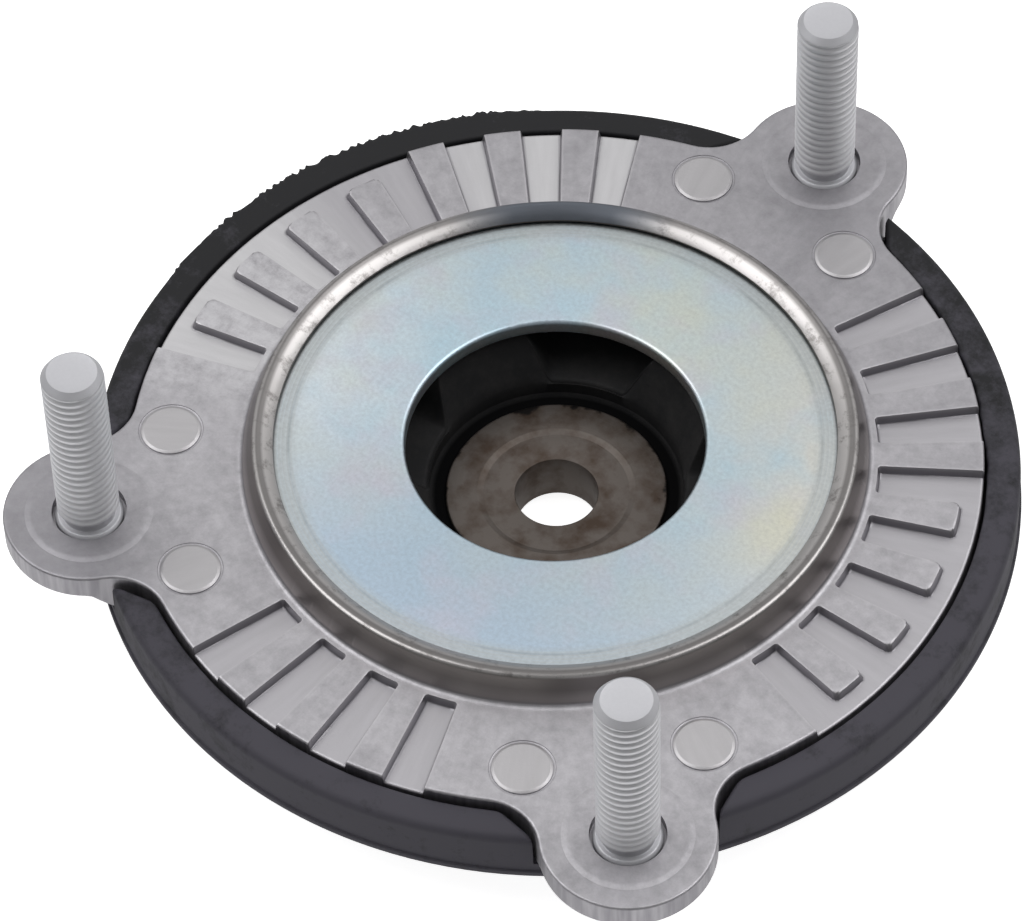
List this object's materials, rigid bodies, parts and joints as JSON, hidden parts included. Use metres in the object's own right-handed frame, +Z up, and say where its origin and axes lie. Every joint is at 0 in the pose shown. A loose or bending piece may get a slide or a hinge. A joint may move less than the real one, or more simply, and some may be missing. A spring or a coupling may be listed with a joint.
{
  "type": "strut mount",
  "caption": "Round die-cast strut top mount with threaded studs on lugs, a cover plate held by a rolled lip, a rubber-bonded rod core and a rubber spring isolator.",
  "frame": {"origin": "on the rod axis at the seat of the rod nut, the upper end of the core's bore", "axes": "+Z up along the rod axis, towards the studs' tips; +Y from the axis towards the lone stud"},
  "size_m": [0.1496, 0.1636, 0.0563],
  "materials": {
    "cast_aluminium": "as cast, satin",
    "stud_steel": "plated, satin",
    "zinc_plated_steel": "zinc plated, clear blue passivation",
    "bushing_rubber": "moulded, matt",
    "phosphated_steel": "turned and phosphated, matt",
    "isolator_rubber": "moulded, matt"
  },
  "bodies": {
    "root": {"housing": "cast_aluminium", "mounting_studs": "stud_steel", "cover_plate": "zinc_plated_steel", "bushing_rubber": "bushing_rubber", "rod_core": "phosphated_steel", "spring_isolator": "isolator_rubber"}
  },
  "joints": []
}
